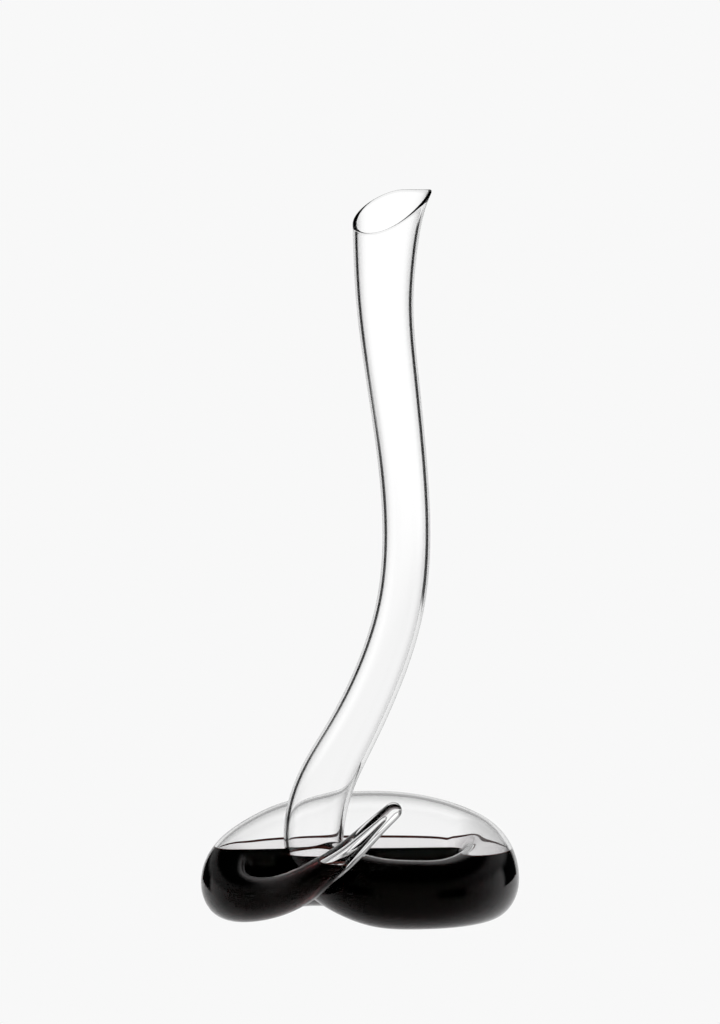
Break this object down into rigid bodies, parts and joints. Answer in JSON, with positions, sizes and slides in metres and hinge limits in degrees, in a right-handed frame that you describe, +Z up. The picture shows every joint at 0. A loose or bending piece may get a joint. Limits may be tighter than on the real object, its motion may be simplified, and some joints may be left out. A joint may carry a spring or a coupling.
{
  "type": "wine decanter",
  "caption": "Clear blown-glass wine decanter: tall S-curved neck with a slanted pouring mouth over a coiled, closed base loop with a crossing tail, part filled with red wine.",
  "frame": {"origin": "on the table under the middle of the whole object", "axes": "+Z up, +Y to the back, +X to the right, the side that the spout points to"},
  "size_m": [0.2196, 0.1552, 0.5001],
  "materials": {
    "clear_glass": "fire-polished clear crystal glass, smooth and colourless",
    "wine": "still red wine, almost black in depth and red at its edge"
  },
  "bodies": {
    "root": {"pouring_lip": "clear_glass", "neck_top": "clear_glass", "neck_bow": "clear_glass", "neck_lower": "clear_glass", "neck_foot": "clear_glass", "front_limb": "clear_glass", "right_bend": "clear_glass", "right_belly": "clear_glass", "back_belly": "clear_glass", "left_bend": "clear_glass", "tail_root": "clear_glass", "tail": "clear_glass", "red_wine": "wine"}
  },
  "joints": []
}
